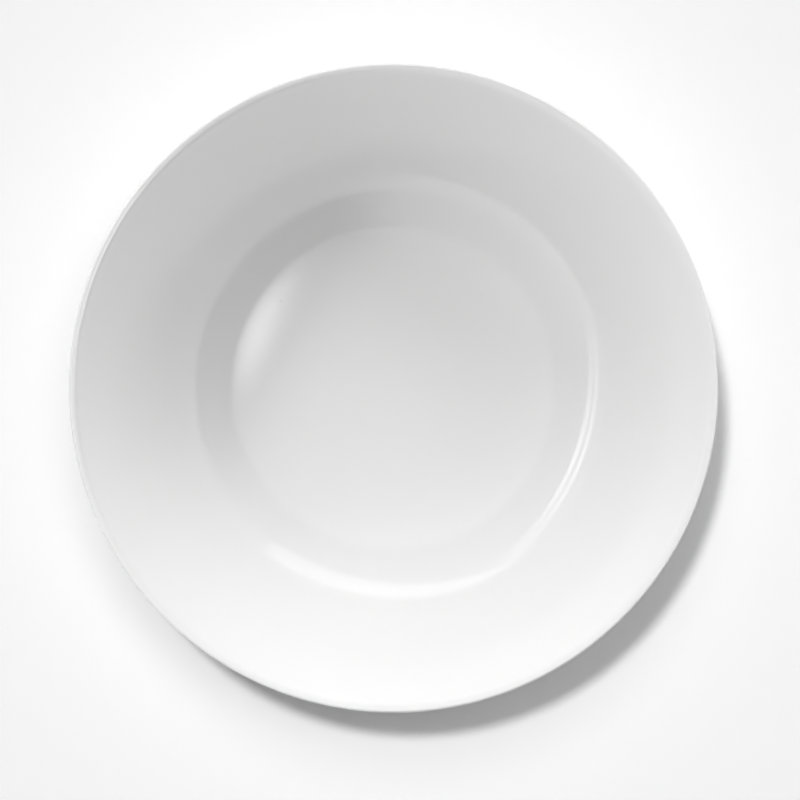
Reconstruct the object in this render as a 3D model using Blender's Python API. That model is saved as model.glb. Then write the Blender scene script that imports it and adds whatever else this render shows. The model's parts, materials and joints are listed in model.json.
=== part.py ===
"""White porcelain salad bowl: a round bottom, a straight flared wall and a turned foot ring.

Metres, +Z up. The bowl stands on the plane Z = 0 and its axis is the Z axis. Its four solids are turned from
one section, which is drawn as the finished, glazed outline and as the faces that lie at set depths under it:
the coats of glaze fill the first layer, and the porcelain body fills what is left.
"""

from math import acos, atan2, cos, pi, radians, sin, sqrt, tan

import bmesh
import bpy
from mathutils import Vector

# Driving dimensions, in metres, over the glaze
RIM_DIAMETER = 0.280
HEIGHT = 0.0870
WALL_SLOPE = radians(44.7)  # of the straight wall's inside, from the horizontal
WALL_TAPER = radians(2.4)  # how much steeper its outside is, so that the wall gets thicker downwards
WALL_THICKNESS = 0.0022  # just under the lip
LIP_ROUND = 0.0090  # wide rounding of the lip's inner side
LIP_EDGE = 0.00075  # tight rounding of its outer edge
FLOOR_THICKNESS = 0.0062  # at the centre
FLOOR_CLEARANCE = 0.0025  # from the table to the middle of the underside
FOOT_DIAMETER = 0.094  # along the middle of the bearing face
FOOT_WIDTH = 0.0044  # of the bare bearing face, before its edges are rounded
FOOT_EDGE = 0.0009  # rounding of those two edges
FOOT_DRAFT = radians(12)  # how far each side of the ring leans, so that the ring leaves its mould
FOOT_FILLET = 0.0040  # where the ring runs into the underside
BARE_FOOT = 0.0022  # height of the foot that is wiped clean of glaze
GLAZE = 0.0003  # thickness of the glaze
BOND = 0.0003  # layer in which glaze and body have melted together, left open

# Fineness of the facets
SEGMENTS = 64  # round the axis
BALL_STEPS = 8  # from the middle of the floor to the straight wall
LIP_STEPS = 3  # over the lip's inner round, and over a quarter of its outer edge
FILLET_STEPS = 4
EDGE_STEPS = 2
MERGE = 1e-6  # points this near to each other are one point

# Places in the section that follow from them: x is the distance from the axis and y the height
COAT = GLAZE + BOND
DOWN = -pi / 2
UP = pi / 2
OUTSIDE_SLOPE = WALL_SLOPE + WALL_TAPER
INSIDE_ANGLE = WALL_SLOPE + DOWN  # direction into the wall from its inside
OUTSIDE_ANGLE = OUTSIDE_SLOPE + DOWN  # direction out of the wall on its outside
INTO_WALL = Vector((cos(INSIDE_ANGLE), sin(INSIDE_ANGLE)))
OUT_OF_WALL = Vector((cos(OUTSIDE_ANGLE), sin(OUTSIDE_ANGLE)))

# The lip's inner round ends on its outer edge while it still leans in by LIP_LEAN, which the wall's thickness sets
LIP_LEAN = WALL_SLOPE - acos((LIP_ROUND + LIP_EDGE - WALL_THICKNESS) / (LIP_ROUND - LIP_EDGE))
LIP_ANGLE = UP + LIP_LEAN
EDGE_CENTRE = Vector((RIM_DIAMETER / 2 - LIP_EDGE, HEIGHT - LIP_EDGE))
ROUND_CENTRE = EDGE_CENTRE - (LIP_ROUND - LIP_EDGE) * Vector((cos(LIP_ANGLE), sin(LIP_ANGLE)))
INSIDE_WALL = ROUND_CENTRE - LIP_ROUND * INTO_WALL  # where the straight wall runs into the lip
OUTSIDE_WALL = EDGE_CENTRE + LIP_EDGE * OUT_OF_WALL


def ball_radius(wall_point, slope, floor_height):
    """Radius of the ball that is lowest at floor_height and runs on into the sloping wall at wall_point."""
    rise = wall_point.y - floor_height
    return (wall_point.x * sin(slope) - rise * cos(slope)) / (1 - cos(slope))


INSIDE_FLOOR = FLOOR_CLEARANCE + FLOOR_THICKNESS
INSIDE_RADIUS = ball_radius(INSIDE_WALL, WALL_SLOPE, INSIDE_FLOOR)
INSIDE_CENTRE = Vector((0, INSIDE_FLOOR + INSIDE_RADIUS))
OUTSIDE_RADIUS = ball_radius(OUTSIDE_WALL, OUTSIDE_SLOPE, FLOOR_CLEARANCE)
OUTSIDE_CENTRE = Vector((0, FLOOR_CLEARANCE + OUTSIDE_RADIUS))


def arc(centre, radius, start, end, steps):
    """Points of an arc in the section."""
    angles = [start + (end - start) * step / steps for step in range(steps + 1)]
    return [centre + radius * Vector((cos(angle), sin(angle))) for angle in angles]


def short_way(start, end):
    """The angle equal to end that is reached from start by the smaller turn."""
    return start + (end - start + pi) % (2 * pi) - pi


class FootSide:
    """One side of the foot ring: outward is 1 for its outer side and -1 for its inner one."""

    def __init__(self, outward):
        self.outward = Vector((outward, 0))
        self.up = Vector((outward * sin(FOOT_DRAFT), cos(FOOT_DRAFT)))
        self.out = Vector((outward * cos(FOOT_DRAFT), -sin(FOOT_DRAFT)))
        self.out_angle = atan2(self.out.y, self.out.x)
        self.corner = Vector((FOOT_DIAMETER / 2, 0)) + FOOT_WIDTH / 2 * self.outward
        self.glazed_base = self.corner + COAT * self.out
        self.fillet_centre, self.fillet_angle = self.find_fillet()

    def find_fillet(self):
        """The centre of the fillet, and the direction in which it lies from where it meets the underside."""
        start = self.glazed_base + FOOT_FILLET * self.out
        to_start = start - OUTSIDE_CENTRE
        along = to_start.dot(self.up)
        reach = OUTSIDE_RADIUS + FOOT_FILLET
        climb = -along - sqrt(along**2 - to_start.length_squared + reach**2)
        spoke = to_start + climb * self.up
        angle = atan2(spoke.y, spoke.x)
        if angle > OUTSIDE_ANGLE:
            # The ball ends inside the ring, so the fillet meets the straight wall
            angle = OUTSIDE_ANGLE
            climb = (FOOT_FILLET - (start - OUTSIDE_WALL).dot(OUT_OF_WALL)) / self.up.dot(OUT_OF_WALL)
        return start + climb * self.up, angle

    def fillet(self, depth):
        """The fillet, from the underside to the foot's side."""
        start = self.fillet_angle + pi
        end = short_way(start, self.out_angle + pi)
        return arc(self.fillet_centre, FOOT_FILLET + depth, start, end, FILLET_STEPS)

    def glaze_end(self, depth):
        """Where the glaze stops above the bearing face."""
        start = self.glazed_base - depth * self.out
        return start + (BARE_FOOT - start.y) / self.up.y * self.up

    def bearing_edge(self):
        """The rounded edge of the bare foot, from its side to its bearing face."""
        inset = FOOT_EDGE / tan((UP + FOOT_DRAFT) / 2)
        centre = self.corner - inset * self.outward + Vector((0, FOOT_EDGE))
        return arc(centre, FOOT_EDGE, self.out_angle, short_way(self.out_angle, DOWN), EDGE_STEPS)


OUTER_SIDE = FootSide(1)
INNER_SIDE = FootSide(-1)


def inside_line(depth, seam=0.0):
    """The face at this depth under the inside, from the middle of the floor to where the lip's edge starts.

    The seam is how far short of that edge it stops.
    """
    bottom = arc(INSIDE_CENTRE, INSIDE_RADIUS + depth, DOWN, INSIDE_ANGLE, BALL_STEPS)
    radius = LIP_ROUND - depth
    lip = arc(ROUND_CENTRE, radius, UP + WALL_SLOPE, LIP_ANGLE + seam / radius, LIP_STEPS)
    return bottom + lip


def outside_line(depth, seam=0.0):
    """The face at this depth under the outside, from where the lip's edge starts to the side of the foot."""
    radius = LIP_EDGE - depth
    top = arc(EDGE_CENTRE, radius, LIP_ANGLE - seam / radius, UP, 1)
    edge = arc(EDGE_CENTRE, radius, UP, 0, LIP_STEPS)
    lip = top[:-1] + edge[:-1] + arc(EDGE_CENTRE, radius, 0, OUTSIDE_ANGLE, LIP_STEPS - 1)
    ball_end = OUTER_SIDE.fillet_angle
    ball = arc(OUTSIDE_CENTRE, OUTSIDE_RADIUS - depth, OUTSIDE_ANGLE, ball_end, BALL_STEPS // 2)
    return lip + (ball[:-1] if ball_end < OUTSIDE_ANGLE else []) + OUTER_SIDE.fillet(depth)


def recess_line(depth):
    """The face at this depth under the recess in the foot ring, from the ring's side to the axis."""
    ball = arc(OUTSIDE_CENTRE, OUTSIDE_RADIUS - depth, INNER_SIDE.fillet_angle, DOWN, BALL_STEPS // 2)
    return INNER_SIDE.fillet(depth)[::-1] + ball[1:]


def body_outline():
    """The porcelain, from the middle of its floor over the lip and round the foot to its underside."""
    foot = OUTER_SIDE.bearing_edge() + INNER_SIDE.bearing_edge()[::-1]
    return inside_line(COAT) + outside_line(COAT)[1:] + foot + recess_line(COAT)


def inside_outline():
    """The inside coat, from the axis along its face to the lip and along its back."""
    return inside_line(0, BOND / 2) + inside_line(GLAZE, BOND / 2)[::-1]


def outside_outline():
    """The outside coat, from the lip down its face to the bare foot and up its back."""
    face = outside_line(0, BOND / 2) + [OUTER_SIDE.glaze_end(0)]
    back = outside_line(GLAZE, BOND / 2) + [OUTER_SIDE.glaze_end(GLAZE)]
    return face + back[::-1]


def recess_outline():
    """The coat in the recess, from the axis along its back to the bare foot and along its face."""
    face = [INNER_SIDE.glaze_end(0)] + recess_line(0)
    back = [INNER_SIDE.glaze_end(GLAZE)] + recess_line(GLAZE)
    return back[::-1] + face


def finish(name, colour, roughness):
    """A material of one colour and roughness."""
    material = bpy.data.materials.new(name)
    material.use_nodes = True
    shader = material.node_tree.nodes["Principled BSDF"]
    shader.inputs["Base Color"].default_value = (*colour, 1)
    shader.inputs["Roughness"].default_value = roughness
    shader.inputs["Metallic"].default_value = 0
    return material


def turn(name, outline, material, parent):
    """A solid turned from an outline that starts and ends on the axis, or that is a loop clear of it."""
    shape = bmesh.new()
    points = [shape.verts.new((point.x, 0, point.y)) for point in outline]
    ends = list(zip(points, points[1:]))
    if outline[0].x > MERGE:
        ends.append((points[-1], points[0]))
    edges = [shape.edges.new(pair) for pair in ends]
    bmesh.ops.spin(
        shape,
        geom=points + edges,
        axis=(0, 0, 1),
        cent=(0, 0, 0),
        angle=2 * pi,
        steps=SEGMENTS,
        use_merge=True,
    )
    bmesh.ops.remove_doubles(shape, verts=shape.verts, dist=MERGE)
    bmesh.ops.recalc_face_normals(shape, faces=shape.faces)
    mesh = bpy.data.meshes.new(name)
    shape.to_mesh(mesh)
    shape.free()
    mesh.shade_smooth()
    mesh.set_sharp_from_angle(angle=radians(40))
    mesh.materials.append(material)
    piece = bpy.data.objects.new(name, mesh)
    piece.parent = parent
    bpy.context.collection.objects.link(piece)


def main():
    for old in list(bpy.data.objects):
        bpy.data.objects.remove(old)
    bowl = bpy.data.objects.new("salad_bowl", None)
    bpy.context.collection.objects.link(bowl)
    porcelain = finish("bare porcelain", (0.78, 0.76, 0.72), 0.55)
    glaze = finish("white glaze", (0.84, 0.84, 0.83), 0.06)
    turn("porcelain_body", body_outline(), porcelain, bowl)
    turn("inside_glaze", inside_outline(), glaze, bowl)
    turn("outside_glaze", outside_outline(), glaze, bowl)
    turn("recess_glaze", recess_outline(), glaze, bowl)


main()
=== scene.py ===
# %% [markdown]
# # A white porcelain salad bowl
#
# The real bowl is one wall of fired porcelain in a skin of clear glaze, and only the ring that it stood
# on in the kiln is bare. It has no print, no handle and no seam, so the eye has nothing to go by but the
# curve of the wall, the round lip and what the glaze mirrors. The lesson therefore turns one true section
# about the axis, as the bowl itself was turned, and then spends its care on the glaze and on the light.

# %% Load the frame
import json
from math import acos, atan2, cos, degrees, pi, radians, sin, sqrt, tan

import bmesh
import bpy
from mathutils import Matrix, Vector


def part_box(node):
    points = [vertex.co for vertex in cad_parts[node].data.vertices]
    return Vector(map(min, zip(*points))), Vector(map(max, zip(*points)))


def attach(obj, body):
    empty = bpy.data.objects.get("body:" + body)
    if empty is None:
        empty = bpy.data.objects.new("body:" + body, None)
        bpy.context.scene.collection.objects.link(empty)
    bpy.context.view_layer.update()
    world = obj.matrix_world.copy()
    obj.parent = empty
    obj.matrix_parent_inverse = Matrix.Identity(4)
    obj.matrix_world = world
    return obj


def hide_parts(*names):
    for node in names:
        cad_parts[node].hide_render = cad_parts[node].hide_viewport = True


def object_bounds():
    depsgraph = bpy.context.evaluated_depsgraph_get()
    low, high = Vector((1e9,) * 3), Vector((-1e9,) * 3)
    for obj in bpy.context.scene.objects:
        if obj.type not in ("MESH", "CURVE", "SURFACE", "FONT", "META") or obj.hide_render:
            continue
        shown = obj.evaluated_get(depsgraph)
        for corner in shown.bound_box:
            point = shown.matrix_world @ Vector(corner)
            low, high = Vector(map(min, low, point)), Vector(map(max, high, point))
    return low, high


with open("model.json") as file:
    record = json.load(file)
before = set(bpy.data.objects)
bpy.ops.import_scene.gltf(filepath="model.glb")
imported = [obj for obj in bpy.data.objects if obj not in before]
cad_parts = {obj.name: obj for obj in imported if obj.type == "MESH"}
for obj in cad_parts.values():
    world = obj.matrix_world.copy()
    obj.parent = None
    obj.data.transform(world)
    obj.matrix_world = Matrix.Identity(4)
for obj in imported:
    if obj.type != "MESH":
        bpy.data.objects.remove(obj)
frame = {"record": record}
cad_low, cad_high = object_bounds()
MM = 0.001
print("the bowl measures, in mm:", [round(side / MM, 2) for side in cad_high - cad_low])

# %% [markdown]
# ## The section
#
# Every face of the bowl is turned, so one drawing of half a slice through it holds the whole shape.
# Inside and outside are each part of a ball that runs on into a straight wall. The wall gets thinner
# upwards and ends in a lip with a wide round on its inside and a tight one on its outer edge, and the
# foot ring grows out of the underside with a fillet. The overall sizes come from the frame. The rest are
# the sizes a potter would put on the drawing, and the balls follow from them, because each has to touch
# its floor and its straight wall.

# %% Sizes of the section
RIM_RADIUS = cad_high.x
HEIGHT = cad_high.z
FOOT_RADIUS = frame["record"]["mounts"][0]["pos_m"][0]
BARE_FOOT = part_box("recess_glaze")[0].z
GLAZE = 0.3 * MM
BOND = 0.3 * MM
INSIDE_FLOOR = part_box("inside_glaze")[0].z + GLAZE
WALL = 2.2 * MM
WALL_SLOPE = radians(44.7)
WALL_TAPER = radians(2.4)
LIP_ROUND = 9.0 * MM
LIP_EDGE = 0.75 * MM
FLOOR = 6.2 * MM
FOOT_WIDTH = 4.4 * MM
FOOT_EDGE = 0.9 * MM
FOOT_DRAFT = radians(12)
FOOT_FILLET = 4.0 * MM
print(f"rim {2 * RIM_RADIUS / MM:.1f}, height {HEIGHT / MM:.1f}, floor at {INSIDE_FLOOR / MM:.2f} mm")

# %% Places in the section: x is the distance from the axis and y the height
UP = pi / 2
DOWN = -pi / 2
UNDERSIDE = INSIDE_FLOOR - FLOOR
OUTSIDE_SLOPE = WALL_SLOPE + WALL_TAPER
INTO_WALL = Vector((sin(WALL_SLOPE), -cos(WALL_SLOPE)))
OUT_OF_WALL = Vector((sin(OUTSIDE_SLOPE), -cos(OUTSIDE_SLOPE)))
LIP_LEAN = WALL_SLOPE - acos((LIP_ROUND + LIP_EDGE - WALL) / (LIP_ROUND - LIP_EDGE))
EDGE_CENTRE = Vector((RIM_RADIUS - LIP_EDGE, HEIGHT - LIP_EDGE))
ROUND_CENTRE = EDGE_CENTRE + (LIP_ROUND - LIP_EDGE) * Vector((sin(LIP_LEAN), -cos(LIP_LEAN)))
INSIDE_TOP = ROUND_CENTRE - LIP_ROUND * INTO_WALL
OUTSIDE_TOP = EDGE_CENTRE + LIP_EDGE * OUT_OF_WALL


def ball_radius(wall_point, slope, lowest):
    """Radius of the ball that is lowest at this height and runs on into the straight wall."""
    return (wall_point.x * sin(slope) - (wall_point.y - lowest) * cos(slope)) / (1 - cos(slope))


INSIDE_BALL = ball_radius(INSIDE_TOP, WALL_SLOPE, INSIDE_FLOOR)
OUTSIDE_BALL = ball_radius(OUTSIDE_TOP, OUTSIDE_SLOPE, UNDERSIDE)
INSIDE_CENTRE = Vector((0, INSIDE_FLOOR + INSIDE_BALL))
OUTSIDE_CENTRE = Vector((0, UNDERSIDE + OUTSIDE_BALL))
print(f"balls of {INSIDE_BALL / MM:.1f} mm inside and {OUTSIDE_BALL / MM:.1f} mm outside")
print(f"the lip still leans in by {degrees(LIP_LEAN):.1f} degrees where its outer edge starts")


# %% The two sides of the foot ring
class FootSide:
    """One side of the ring: outward is 1 for the outer side and -1 for the inner one."""

    def __init__(self, outward):
        self.up = Vector((outward * sin(FOOT_DRAFT), cos(FOOT_DRAFT)))
        self.out = Vector((outward * cos(FOOT_DRAFT), -sin(FOOT_DRAFT)))
        self.base = Vector((FOOT_RADIUS + outward * FOOT_WIDTH / 2, 0)) + (GLAZE + BOND) * self.out
        start = self.base + FOOT_FILLET * self.out - OUTSIDE_CENTRE
        along = start.dot(self.up)
        climb = -along - sqrt(along**2 - start.length_squared + (OUTSIDE_BALL + FOOT_FILLET) ** 2)
        spoke = start + climb * self.up
        self.ball_end = atan2(spoke.y, spoke.x)
        self.fillet_centre = OUTSIDE_CENTRE + spoke
        self.fillet_turn = (atan2(self.out.y, self.out.x) - self.ball_end + pi) % (2 * pi) - pi

    def at_height(self, height, depth):
        """The point of the ring's side at this height and at this depth under the glaze."""
        start = self.base - depth * self.out
        return start + (height - start.y) / self.up.y * self.up


OUTER_SIDE = FootSide(1)
INNER_SIDE = FootSide(-1)
print(f"fillets turn {degrees(OUTER_SIDE.fillet_turn):.1f} and {degrees(INNER_SIDE.fillet_turn):.1f} degrees")

# %% [markdown]
# ## A pen for the section
#
# A profile could be typed in as a long list of points, but then nobody could tell an arc from a mistake.
# Two strokes are enough to draw it as a draughtsman would: swing the tip of the line about a centre,
# which is bmesh's spin on a single vertex, or run it straight to a point in a few extruded steps. The
# straight runs have steps too, because smooth shading bends the light over the whole length of a face
# that is next to a curve, and short faces keep that bend short.

# %% Strokes of the pen, and the turn about the axis
ROUND_STEPS = 256
MERGE = 0.001 * MM


def touch(shape, point):
    """Set the pen down at a point of the section."""
    return bmesh.ops.create_vert(shape, co=(point.x, 0, point.y))["vert"][0]


def swing(shape, tip, centre, angle, steps):
    """Swing the tip about a centre, by an angle that is positive from +X towards +Z."""
    hub = (centre.x, 0, centre.y)
    drawn = bmesh.ops.spin(shape, geom=[tip], cent=hub, axis=(0, -1, 0), angle=angle, steps=steps)
    return drawn["geom_last"][0]


def run(shape, tip, point, steps):
    """Run the tip straight to a point of the section."""
    stride = (Vector((point.x, 0, point.y)) - tip.co) / steps
    for _ in range(steps):
        tip = bmesh.ops.extrude_vert_indiv(shape, verts=[tip])["verts"][0]
        bmesh.ops.translate(shape, verts=[tip], vec=stride)
    return tip


def turn(shape, name):
    """Turn the drawn section about the bowl's axis into a smooth, closed piece."""
    drawn = shape.verts[:] + shape.edges[:]
    circle = {"cent": (0, 0, 0), "axis": (0, 0, 1), "angle": 2 * pi, "steps": ROUND_STEPS}
    bmesh.ops.spin(shape, geom=drawn, use_merge=True, **circle)
    bmesh.ops.remove_doubles(shape, verts=shape.verts, dist=MERGE)
    bmesh.ops.recalc_face_normals(shape, faces=shape.faces)
    mesh = bpy.data.meshes.new(name)
    shape.to_mesh(mesh)
    shape.free()
    mesh.shade_smooth()
    piece = bpy.data.objects.new(name, mesh)
    bpy.context.scene.collection.objects.link(piece)
    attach(piece, "root")
    mesh.calc_loop_triangles()
    print(f"{name}: {len(mesh.vertices)} points, {len(mesh.loop_triangles)} triangles")
    return piece


# %% Lines that the pieces share
BALL_STEPS = 48
WALL_STEPS = 24
LIP_STEPS = 12
FILLET_STEPS = 8
SIDE_STEPS = 3


def down_to_foot(shape, tip, side, ball_start, depth):
    """Follow the outside ball and the fillet, then the ring's side down to where the glaze stops."""
    tip = swing(shape, tip, OUTSIDE_CENTRE, side.ball_end - ball_start, BALL_STEPS // 2)
    tip = swing(shape, tip, side.fillet_centre, side.fillet_turn, FILLET_STEPS)
    return run(shape, tip, side.at_height(BARE_FOOT, depth), SIDE_STEPS)


def over_the_lip(shape, depth):
    """Draw the face at this depth from the middle of the inside, over the lip and down to the foot."""
    tip = touch(shape, Vector((0, INSIDE_FLOOR - depth)))
    tip = swing(shape, tip, INSIDE_CENTRE, WALL_SLOPE, BALL_STEPS)
    tip = run(shape, tip, INSIDE_TOP + depth * INTO_WALL, WALL_STEPS)
    tip = swing(shape, tip, ROUND_CENTRE, LIP_LEAN - WALL_SLOPE, LIP_STEPS)
    tip = swing(shape, tip, EDGE_CENTRE, OUTSIDE_SLOPE - pi - LIP_LEAN, LIP_STEPS)
    tip = run(shape, tip, OUTSIDE_CENTRE + (OUTSIDE_BALL - depth) * OUT_OF_WALL, WALL_STEPS)
    return down_to_foot(shape, tip, OUTER_SIDE, OUTSIDE_SLOPE + DOWN, depth)


def under_the_floor(shape, depth):
    """Draw the face at this depth from the middle of the underside to the inner side of the foot."""
    tip = touch(shape, Vector((0, UNDERSIDE + depth)))
    return down_to_foot(shape, tip, INNER_SIDE, DOWN, depth)


# %% [markdown]
# ## The coat of glaze
#
# On the real bowl the glaze is poured on as a slip and melts into one unbroken skin over the inside, the
# lip and the outside. Two separate coats would leave a hairline on the lip, so one piece stands for both.
# It could be a single surface with Solidify, but drawing the face and the back with the same strokes
# keeps the coat equally thick round the tight lip. Melted glaze ends above the bare foot in a small round
# bead, which is a half turn of the pen about the middle of the coat.

# %% Turn the two coats
BEAD_STEPS = 6


def glaze_coat(name, line, bead_turn):
    """A coat between the face and the back that a line gives, closed at the foot by a round bead."""
    shape = bmesh.new()
    face_end = line(shape, 0)
    back_end = line(shape, GLAZE)
    middle = (face_end.co + back_end.co) / 2
    swing(shape, face_end, Vector((middle.x, middle.z)), bead_turn, BEAD_STEPS)
    return turn(shape, name)


bowl_coat = glaze_coat("bowl_glaze", over_the_lip, -pi)
recess_coat = glaze_coat("recess_glaze_coat", under_the_floor, pi)
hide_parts("inside_glaze", "outside_glaze")
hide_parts("recess_glaze")

# %% [markdown]
# ## The porcelain under it
#
# The body is the same section a coat deeper, and what shows of it is the ring that the bowl stands on.
# The potter wipes that ring clean, so that it doesn't melt fast to the kiln shelf, and rubs its edges
# round. The body reaches a hair into the glaze, as the two have melted together, and so no light leaks
# between them.

# %% Turn the body
MELT = 0.03 * MM
EDGE_STEPS = 6
EDGE_TURN = UP - FOOT_DRAFT
EDGE_INSET = FOOT_EDGE / tan((UP + FOOT_DRAFT) / 2)
body_depth = GLAZE - MELT
outer_corner = OUTER_SIDE.at_height(0, body_depth)
inner_corner = INNER_SIDE.at_height(0, body_depth)
outer_hub = outer_corner + Vector((-EDGE_INSET, FOOT_EDGE))
inner_hub = inner_corner + Vector((EDGE_INSET, FOOT_EDGE))

shape = bmesh.new()
inner_end = under_the_floor(shape, body_depth)
tip = over_the_lip(shape, body_depth)
tip = run(shape, tip, outer_hub + FOOT_EDGE * OUTER_SIDE.out, SIDE_STEPS)
tip = swing(shape, tip, outer_hub, -EDGE_TURN, EDGE_STEPS)
tip = run(shape, tip, Vector((inner_hub.x, 0)), SIDE_STEPS)
tip = swing(shape, tip, inner_hub, -EDGE_TURN, EDGE_STEPS)
run(shape, tip, Vector((inner_end.co.x, inner_end.co.z)), SIDE_STEPS)
body = turn(shape, "porcelain")
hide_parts("porcelain_body")

# %% [markdown]
# ## Colours and nodes
#
# Colours are written as they are read off a screen and turned to linear light by one function. One more
# function adds a node, with its settings and with what feeds its sockets, so that a material reads as a
# list of what it is made of. Sizes of patterns are real ones: a texture's scale is one over the size of
# its grain. The last function tells the rays that see a thing from those that carry its light on, for the
# table and the room.

# %% Helpers for the materials
def linear(hex_colour):
    """An sRGB hex colour as linear red, green, blue and alpha."""
    shares = [int(hex_colour[place : place + 2], 16) / 255 for place in (0, 2, 4)]
    return [s / 12.92 if s <= 0.04045 else ((s + 0.055) / 1.055) ** 2.4 for s in shares] + [1]


def add(tree, kind, feeds, **settings):
    """Add a node: settings are its properties, feeds gives its sockets a value or another node's output."""
    node = tree.nodes.new(kind)
    for name, value in settings.items():
        setattr(node, name, value)
    for socket, feed in feeds.items():
        if isinstance(feed, bpy.types.NodeSocket):
            tree.links.new(feed, node.inputs[socket])
        else:
            node.inputs[socket].default_value = feed
    return node


def new_material(name):
    """An empty material with its shader, and the object's own coordinates."""
    material = bpy.data.materials.new(name)
    material.use_nodes = True
    tree = material.node_tree
    place = add(tree, "ShaderNodeTexCoord", {}).outputs["Object"]
    return material, tree, tree.nodes["Principled BSDF"], place


def seen_rays(tree):
    """1 on rays of the camera and on those that a glossy or clear surface sends on, 0 on the others."""
    path = add(tree, "ShaderNodeLightPath", {}).outputs
    feeds = {0: path["Is Glossy Ray"], 1: path["Is Transmission Ray"]}
    mirrored = add(tree, "ShaderNodeMath", feeds, operation="MAXIMUM").outputs["Value"]
    feeds = {0: path["Is Camera Ray"], 1: mirrored}
    return add(tree, "ShaderNodeMath", feeds, operation="MAXIMUM").outputs["Value"]


# %% [markdown]
# ## The glaze
#
# The glaze is a hard, dense glass a third of a millimetre thick over a white ground, so it is a white
# diffuse colour under a sharp mirror of index 1.6. It is never quite flat: it pooled and crept as it
# melted, which bends a mirrored edge by a pixel or two, and here and there a bubble burst and left a
# pinhole. These are far lower than a mesh would show, so they are bumps.

# %% Clear glaze on white porcelain
WAVE = 16 * MM
WAVE_HEIGHT = 0.003 * MM
PINHOLE = 0.8 * MM
PINHOLE_DEPTH = 0.12 * MM
# x and y of each pinhole, in mm
PINHOLES = [(-50.3, 38.4), (38.2, 41.4), (121.1, 38.8)]

# Gives the eye a clean, slightly grey white with small, sharp, pale reflections.
glaze, tree, shader, place = new_material("clear glaze on white porcelain")
shader.inputs["IOR"].default_value = 1.6
shader.inputs["Metallic"].default_value = 0

wave = add(tree, "ShaderNodeTexNoise", {"Vector": place, "Scale": 1 / WAVE, "Detail": 1, "Roughness": 0.4})
waved = add(tree, "ShaderNodeBump", {"Height": wave.outputs["Fac"], "Strength": 1, "Distance": WAVE_HEIGHT})
print("glaze:", len(tree.nodes), "nodes so far")

# %% Pinholes, and the slight spread of gloss and tone
normal = waved.outputs["Normal"]
for x, y in PINHOLES:
    across = sqrt(x**2 + y**2) * MM
    if across < INSIDE_BALL * sin(WALL_SLOPE):
        height = INSIDE_CENTRE.y - sqrt(INSIDE_BALL**2 - across**2)
    else:
        height = INSIDE_TOP.y - (INSIDE_TOP.x - across) * tan(WALL_SLOPE)
    spot = (x * MM, y * MM, height)
    apart = add(tree, "ShaderNodeVectorMath", {0: place, 1: spot}, operation="DISTANCE").outputs["Value"]
    dip = {"Value": apart, "From Min": 0, "From Max": PINHOLE}
    hollow = add(tree, "ShaderNodeMapRange", dip, interpolation_type="SMOOTHSTEP").outputs["Result"]
    feeds = {"Height": hollow, "Strength": 1, "Distance": PINHOLE_DEPTH, "Normal": normal}
    normal = add(tree, "ShaderNodeBump", feeds).outputs["Normal"]
tree.links.new(normal, shader.inputs["Normal"])

GLOSS = (0.035, 0.065)
GLOSS_PATCH = 35 * MM
patch = add(tree, "ShaderNodeTexNoise", {"Vector": place, "Scale": 1 / GLOSS_PATCH, "Detail": 2})
feeds = {"Value": patch.outputs["Fac"], "To Min": GLOSS[0], "To Max": GLOSS[1]}
tree.links.new(add(tree, "ShaderNodeMapRange", feeds).outputs["Result"], shader.inputs["Roughness"])

tone = add(tree, "ShaderNodeMix", {}, data_type="RGBA")
tree.links.new(patch.outputs["Fac"], tone.inputs["Factor"])
tone.inputs["A"].default_value = linear("DADADA")
tone.inputs["B"].default_value = linear("D8D8D8")
tree.links.new(tone.outputs["Result"], shader.inputs["Base Color"])
for coat in (bowl_coat, recess_coat):
    coat.data.materials.append(glaze)
print("glaze:", len(tree.nodes), "nodes")

# %% [markdown]
# ## The bare foot
#
# Unglazed porcelain is fired stone: off-white, matt and a little rough, like fine sandpaper. The edge that
# meets the table is rubbed smoother and greyer by years of standing. The grain of real porcelain is a few
# hundredths of a millimetre, too fine to show, so it is drawn at a third of a millimetre.

# %% Fired, unglazed porcelain
GRAIN = 0.35 * MM
GRAIN_HEIGHT = 0.02 * MM
RUBBED_UP_TO = 0.8 * MM
MATT = 0.7
RUBBED_SMOOTH = 0.45

# Gives the eye a warm, dull ring that parts the white bowl from the table.
bare, tree, shader, place = new_material("fired unglazed porcelain")
shader.inputs["IOR"].default_value = 1.5
shader.inputs["Metallic"].default_value = 0
grain = add(tree, "ShaderNodeTexNoise", {"Vector": place, "Scale": 1 / GRAIN, "Detail": 3})
feeds = {"Height": grain.outputs["Fac"], "Strength": 1, "Distance": GRAIN_HEIGHT}
tree.links.new(add(tree, "ShaderNodeBump", feeds).outputs["Normal"], shader.inputs["Normal"])
height = add(tree, "ShaderNodeSeparateXYZ", {"Vector": place}).outputs["Z"]
feeds = {"Value": height, "From Min": RUBBED_UP_TO, "From Max": 0}
rubbed = add(tree, "ShaderNodeMapRange", feeds).outputs["Result"]
feeds = {"Value": rubbed, "To Min": MATT, "To Max": RUBBED_SMOOTH}
tree.links.new(add(tree, "ShaderNodeMapRange", feeds).outputs["Result"], shader.inputs["Roughness"])
tone = add(tree, "ShaderNodeMix", {}, data_type="RGBA")
tree.links.new(rubbed, tone.inputs["Factor"])
tone.inputs["A"].default_value = linear("E4DED3")
tone.inputs["B"].default_value = linear("CDC7BD")
tree.links.new(tone.outputs["Result"], shader.inputs["Base Color"])
body.data.materials.append(bare)
print("bare porcelain:", len(tree.nodes), "nodes")

# %% [markdown]
# ## The table
#
# The bowl stands on a sheet of white paper so wide that its edge is never in view. The paper is an
# ordinary diffuse white without gloss. It keeps the shadow of the rim, and it throws light up at the
# outside of the bowl. The camera and the glaze also see a faint even glow in it, which lifts the shadow
# and puts no light on the bowl.

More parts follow.
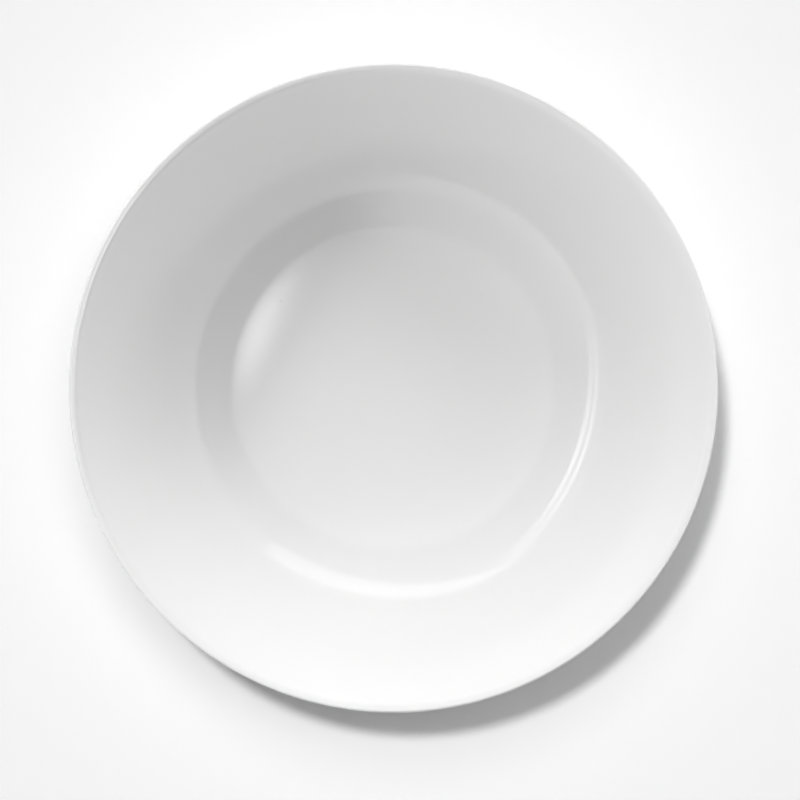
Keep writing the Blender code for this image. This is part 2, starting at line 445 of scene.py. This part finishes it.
# %% Paper
PAPER_REACH = 12.0
PAPER_GLOW = 0.12

shape = bmesh.new()
bmesh.ops.create_grid(shape, x_segments=1, y_segments=1, size=PAPER_REACH)
mesh = bpy.data.meshes.new("paper")
shape.to_mesh(mesh)
shape.free()
paper = bpy.data.objects.new("paper", mesh)
bpy.context.scene.collection.objects.link(paper)

# Gives the eye a flat white ground with nothing on it but the shadow.
white_paper, tree, shader, place = new_material("white paper")
shader.inputs["Base Color"].default_value = linear("F3F3F3")
shader.inputs["Roughness"].default_value = 0.9
shader.inputs["Specular IOR Level"].default_value = 0
shader.inputs["Emission Color"].default_value = (1, 1, 1, 1)
lift = add(tree, "ShaderNodeMath", {0: seen_rays(tree), 1: PAPER_GLOW}, operation="MULTIPLY").outputs["Value"]
tree.links.new(lift, shader.inputs["Emission Strength"])
paper.data.materials.append(white_paper)
print(f"paper {2 * PAPER_REACH:.0f} m wide")

# %% [markdown]
# ## The light
#
# A photographer of glazed ware lights it twice, once for its form and once for its gloss, and keeps the
# light on the table apart with flags. Here light linking does the work of the flags. A high lamp at the
# upper left gives the shadow on the paper, and two softer ones even the paper out. The bowl has a high
# lamp of its own, a wide soft one behind and low ones all round that model it, and two narrow ones just
# above the table, which let the lip throw a faint edge on the wall. They could be area lamps, but a sun
# lights near and far alike and its spread alone sets how soft its shadow is. Mirrored, suns would be hard
# discs, so they are hidden from glossy rays.

# %% Lamps that light the form
def towards(azimuth, elevation):
    """A unit direction from the bowl."""
    a, e = radians(azimuth), radians(elevation)
    return Vector((cos(e) * cos(a), cos(e) * sin(a), sin(e)))


def group(name, *members):
    """A collection that a lamp can be aimed at."""
    collection = bpy.data.collections.new(name)
    for member in members:
        collection.objects.link(member)
    return collection


def sun(name, azimuth, elevation, spread, energy, lit):
    """A lamp far away, as wide in the sky as its spread, that leaves no image in the glaze."""
    data = bpy.data.lights.new(name, "SUN")
    data.energy = energy
    data.angle = radians(spread)
    lamp = bpy.data.objects.new(name, data)
    lamp.rotation_euler = (-towards(azimuth, elevation)).to_track_quat("-Z", "Y").to_euler()
    lamp.visible_glossy = False
    lamp.light_linking.receiver_collection = lit
    bpy.context.scene.collection.objects.link(lamp)


ware = group("ware", bowl_coat, recess_coat, body)
table = group("table", paper)
sun("key", azimuth=113, elevation=81.3, spread=8, energy=1.26, lit=ware)
sun("high_back", azimuth=105, elevation=38, spread=50, energy=2.0, lit=ware)
sun("low_back", azimuth=80, elevation=13, spread=26, energy=1.05, lit=ware)
sun("low_left", azimuth=200, elevation=13, spread=26, energy=0.95, lit=ware)
sun("low_front", azimuth=272, elevation=13, spread=26, energy=0.9, lit=ware)
sun("low_right", azimuth=15, elevation=13, spread=26, energy=0.78, lit=ware)
sun("sill_front", azimuth=295, elevation=7.7, spread=1.4, energy=0.14, lit=ware)
sun("sill_left", azimuth=160, elevation=4.1, spread=1.4, energy=0.12, lit=ware)
sun("table_key", azimuth=121.6, elevation=77.7, spread=4, energy=1.7, lit=table)
sun("table_right", azimuth=40, elevation=80, spread=16, energy=0.45, lit=table)
sun("table_back", azimuth=100, elevation=70, spread=20, energy=0.55, lit=table)
print("suns:", len(bpy.data.lights))

# %% [markdown]
# ## What the glaze mirrors
#
# A glossy wall shows the lamps themselves: a wide white ceiling with a bright spot, a low bank of light
# and two tubes. They could be glowing meshes, but area lamps render with less noise and can be hidden
# from diffuse rays, so that moving one moves its image and leaves the form alone. The upright ones are
# placed by the direction from which the wall of the bowl sees them, and a soft fade over the ceiling and
# the tubes gives them a bright middle.

# %% Panels that the glaze mirrors
LAMP_DISTANCE = 8.0
MIRROR_BEHIND = 85 * MM
MIRROR_ABOVE = 37 * MM
WATTS = 4
CEILING = 16.0
CEILING_EDGE = 32
CEILING_FACING = 335
CEILING_LEAST = 0.5
UPPER_TUBE_LEAST = 0.6
LOWER_TUBE_LEAST = 0.7
# Soft spots: the middle on the panel's face, the reach there, and how much brighter it gets
CEILING_DOME = ((0.69, 0.5), (0.47, 0.47), 1.2)
CEILING_HOT_SPOT = ((0.907, 0.5), (0.134, 0.264), 2.9)
UPPER_TUBE = ((0.5, 0.5), (0.42, 0.7), 2.4)
LOWER_TUBE = ((0.5, 0.5), (0.42, 0.7), 1.8)


def panel(name, shape, width, height, radiance):
    """An area lamp that shows in the glaze and lights nothing else; WATTS is for a radiance of 1 on 1 m2."""
    data = bpy.data.lights.new(name, "AREA")
    data.shape = shape
    data.size = width
    data.size_y = height
    share = pi / 4 if shape == "ELLIPSE" else 1
    data.energy = WATTS * radiance * width * height * share
    lamp = bpy.data.objects.new(name, data)
    lamp.visible_camera = False
    lamp.visible_diffuse = False
    bpy.context.scene.collection.objects.link(lamp)
    return lamp


def softbox(name, azimuth, low, high, left, right, radiance):
    """An upright panel square to an azimuth; left and right are how far it spreads to either side."""
    base = LAMP_DISTANCE * towards(azimuth, 0)
    sideways = towards(azimuth + 90, 0)
    reach = [LAMP_DISTANCE * tan(radians(side)) for side in (-right, left)]
    rise = [MIRROR_ABOVE + (LAMP_DISTANCE + MIRROR_BEHIND) * tan(radians(edge)) for edge in (low, high)]
    lamp = panel(name, "RECTANGLE", reach[1] - reach[0], rise[1] - rise[0], radiance)
    lamp.location = base + sum(reach) / 2 * sideways + Vector((0, 0, sum(rise) / 2))
    lamp.rotation_euler = (-base).to_track_quat("-Z", "Y").to_euler()
    return lamp


def glow(lamp, least, *spots):
    """Give a panel a least level and soft spots that fade out towards their edges."""
    lamp.data.use_nodes = True
    tree = lamp.data.node_tree
    face = add(tree, "ShaderNodeNewGeometry", {}).outputs["Parametric"]
    level = least
    for middle, reach, more in spots:
        away = add(tree, "ShaderNodeVectorMath", {0: face, 1: (*middle, 0)}, operation="SUBTRACT")
        feeds = {0: away.outputs["Vector"], 1: (*reach, 1)}
        spread = add(tree, "ShaderNodeVectorMath", feeds, operation="DIVIDE")
        far = add(tree, "ShaderNodeVectorMath", {0: spread.outputs["Vector"]}, operation="LENGTH")
        feeds = {"Value": far.outputs["Value"], "From Min": 1, "From Max": 0, "To Max": more}
        share = add(tree, "ShaderNodeMapRange", feeds, interpolation_type="SMOOTHSTEP").outputs["Result"]
        level = add(tree, "ShaderNodeMath", {0: level, 1: share}, operation="ADD").outputs["Value"]
    tree.links.new(level, tree.nodes["Emission"].inputs["Strength"])


CEILING_WIDTH = 2 * CEILING / tan(radians(CEILING_EDGE))
ceiling = panel("ceiling", "ELLIPSE", CEILING_WIDTH, CEILING_WIDTH, 1)
ceiling.location.z = CEILING
ceiling.rotation_euler.z = radians(CEILING_FACING)
glow(ceiling, CEILING_LEAST, CEILING_DOME, CEILING_HOT_SPOT)

softbox("low_bank", azimuth=70, low=12.6, high=19.3, left=58, right=18, radiance=0.95)
tube_upper = softbox("tube_upper", azimuth=160, low=17.5, high=19.7, left=36, right=36, radiance=1)
tube_lower = softbox("tube_lower", azimuth=160, low=15.0, high=16.9, left=36, right=36, radiance=1)
glow(tube_upper, UPPER_TUBE_LEAST, UPPER_TUBE)
glow(tube_lower, LOWER_TUBE_LEAST, LOWER_TUBE)
print("suns and panels:", len(bpy.data.lights))

# %% [markdown]
# ## The room
#
# Between the panels the glaze mirrors the room: pale as far up as the table's surroundings reach, darker
# above, with one wall lighter than the rest and a window. A picture of a room could be wrapped round the
# scene, but a few soft steps in the world's nodes give all that a bowl shows of it. The room is there for
# the rays that see it and adds no light of its own to the bowl or the paper.

# %% The room round the table, as the camera and the glaze see it
HORIZON = 4.6
TABLE_TOP = 17
SOFT_EDGE = 1
HORIZON_LIGHT = 0.94
TABLE_LIGHT = 1.0
ROOM_LIGHT = 0.72
ROOM_FACING = 150
ROOM_DARK = -0.7
ROOM_BRIGHT = -0.34
WINDOW_FACING = 238
WINDOW_HEIGHT = 14
WINDOW_REACH = 50
WINDOW_LIGHT = 0.95

world = bpy.context.scene.world or bpy.data.worlds.new("studio")
bpy.context.scene.world = world
world.use_nodes = True
tree = world.node_tree
direction = add(tree, "ShaderNodeTexCoord", {}).outputs["Generated"]
height = add(tree, "ShaderNodeSeparateXYZ", {"Vector": direction}).outputs["Z"]
feeds = {0: direction, 1: towards(ROOM_FACING, 0)}
facing = add(tree, "ShaderNodeVectorMath", feeds, operation="DOT_PRODUCT").outputs["Value"]
feeds = {0: direction, 1: towards(WINDOW_FACING, WINDOW_HEIGHT)}
window = add(tree, "ShaderNodeVectorMath", feeds, operation="DOT_PRODUCT").outputs["Value"]


def step(value, start, end, low, high):
    """A soft step from a low level to a high one; either may be another node's output."""
    feeds = {"Value": value, "From Min": start, "From Max": end, "To Min": low, "To Max": high}
    return add(tree, "ShaderNodeMapRange", feeds, interpolation_type="SMOOTHSTEP").outputs["Result"]


lit_wall = step(facing, ROOM_DARK, ROOM_BRIGHT, 0, ROOM_LIGHT)
day = step(window, cos(radians(WINDOW_REACH)), 1, 0, WINDOW_LIGHT)
room = add(tree, "ShaderNodeMath", {0: lit_wall, 1: day}, operation="ADD").outputs["Value"]
low_room = add(tree, "ShaderNodeMath", {0: TABLE_LIGHT, 1: day}, operation="ADD").outputs["Value"]
sky = [sin(radians(HORIZON)), sin(radians(HORIZON + SOFT_EDGE))]
above_horizon = step(height, *sky, HORIZON_LIGHT, low_room)
top = [sin(radians(TABLE_TOP - SOFT_EDGE)), sin(radians(TABLE_TOP + SOFT_EDGE))]
light = step(height, *top, above_horizon, room)
strength = add(tree, "ShaderNodeMath", {0: light, 1: seen_rays(tree)}, operation="MULTIPLY").outputs["Value"]
tree.links.new(strength, tree.nodes["Background"].inputs["Strength"])
tree.nodes["Background"].inputs["Color"].default_value = (1, 1, 1, 1)
print("room:", len(tree.nodes), "nodes")

# %% [markdown]
# ## The camera
#
# The picture is taken straight from above with a long lens. How much smaller the rim's shadow is than the
# rim says how far away the camera is, and the rim's width in the picture says how wide the lens sees
# there. The camera could stand over the bowl's axis and shift its lens, but moving it aside keeps other
# views centred.

# %% Camera
PICTURE = 800
RIM_PIXELS = 324.8
RIM_MIDDLE = Vector((393.46, 387.84))
CAMERA_ABOVE_RIM = 2.165
SENSOR = 36.0

pixel = RIM_RADIUS / RIM_PIXELS
offset = pixel * (Vector((PICTURE / 2, PICTURE / 2)) - RIM_MIDDLE)
camera_data = bpy.data.cameras.new("camera")
camera_data.sensor_width = SENSOR
camera_data.lens = SENSOR * CAMERA_ABOVE_RIM / (PICTURE * pixel)
camera = bpy.data.objects.new("camera", camera_data)
camera.location = (offset.x, -offset.y, HEIGHT + CAMERA_ABOVE_RIM)
bpy.context.scene.collection.objects.link(camera)
bpy.context.scene.camera = camera
bpy.context.scene.view_settings.view_transform = "Standard"
print(f"lens {camera_data.lens:.1f} mm")
